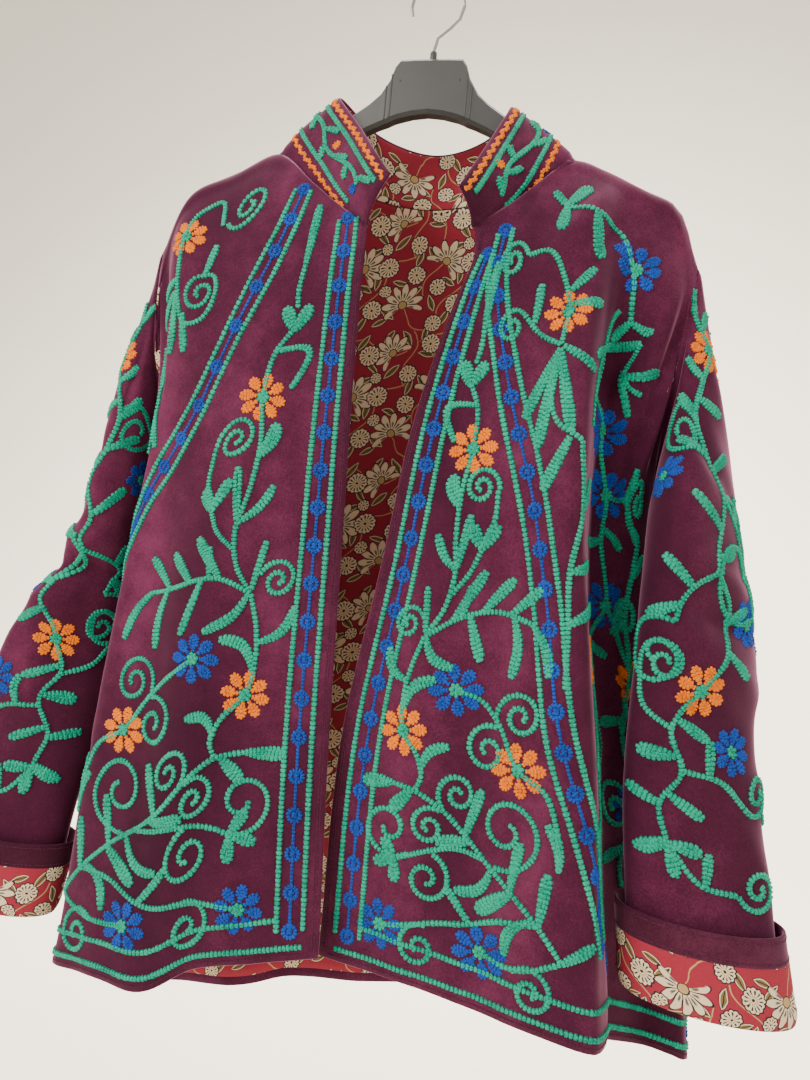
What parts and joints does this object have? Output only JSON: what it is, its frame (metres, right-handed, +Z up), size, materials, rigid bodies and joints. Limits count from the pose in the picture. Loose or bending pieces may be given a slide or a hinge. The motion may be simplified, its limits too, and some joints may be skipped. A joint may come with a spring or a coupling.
{
  "type": "embroidered velvet jacket on a hanger",
  "caption": "Open-front velvet jacket with a stand collar, long sleeves with turned-back printed cuffs and chain-stitch embroidery, hung on a plastic hanger with a steel hook.",
  "frame": {"origin": "the bearing point inside the top of the hook's bend, where a rail holds it", "axes": "+Z up, -Y out of the open front, +X towards the wearer's left side"},
  "size_m": [0.7744, 0.167, 0.9726],
  "materials": {
    "velvet": "plum cotton velvet with a soft sheen, chain-stitched in teal, blue and orange yarn",
    "facing_velvet": "plum velvet strip with a double line of stitching",
    "printed_lining": "madder red cotton printed with cream and black flowers, matt",
    "hanger_plastic": "dark grey moulded plastic, satin",
    "hook_steel": "bright steel wire"
  },
  "bodies": {
    "root": {"left_front": "velvet", "right_front": "velvet", "back": "velvet", "left_sleeve_front": "velvet", "left_sleeve_back": "velvet", "right_sleeve_front": "velvet", "right_sleeve_back": "velvet", "collar": "velvet", "left_cuff_facing": "facing_velvet", "right_cuff_facing": "facing_velvet", "left_cuff": "printed_lining", "right_cuff": "printed_lining", "back_lining": "printed_lining", "collar_lining": "printed_lining", "hanger_body": "hanger_plastic", "hanger_hook": "hook_steel"}
  },
  "joints": []
}
